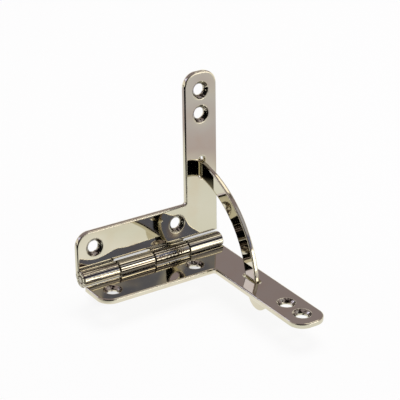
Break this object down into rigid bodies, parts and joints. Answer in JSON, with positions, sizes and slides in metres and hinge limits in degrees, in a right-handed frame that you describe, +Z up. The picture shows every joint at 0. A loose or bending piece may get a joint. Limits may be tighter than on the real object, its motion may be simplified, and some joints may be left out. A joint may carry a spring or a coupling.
{
  "type": "quadrant hinge",
  "caption": "L-shaped plated box hinge: rolled knuckles on a pin, countersunk screw holes, and a curved stay that slides through both arms and stops the lid just past upright.",
  "frame": {"origin": "midpoint between the box leaf's two flange screw holes, on the face that seats in the box", "axes": "+Z up through the box leaf toward the screw heads, +X along the pin toward the arms, -Y along the box leaf's arm; the lid leaf stands open"},
  "size_m": [0.0381, 0.0501, 0.0496],
  "materials": {
    "box_leaf": "polished bright nickel plate",
    "lid_leaf": "polished bright nickel plate",
    "hinge_pin": "polished bright nickel plate",
    "quadrant_stay": "polished bright nickel plate"
  },
  "bodies": {
    "box_side": {"box_leaf": "box_leaf", "hinge_pin": "hinge_pin"},
    "lid_side": {"lid_leaf": "lid_leaf"},
    "stay": {"quadrant_stay": "quadrant_stay"}
  },
  "joints": [
    {"name": "lid_turn", "type": "hinge", "parent": "box_side", "child": "lid_side", "pos_m": [0, 0.0065, 0.002], "axis": [1, 0, 0], "range_deg": [0, 92.6]},
    {"name": "stay_follow", "type": "hinge", "parent": "box_side", "child": "stay", "pos_m": [0, 0.0035, 0.0006], "axis": [1, 0, 0], "range_deg": [0, 46.3]}
  ],
  "couplings": [
    {"joint": "stay_follow", "follows": "lid_turn", "ratio": 0.5}
  ]
}
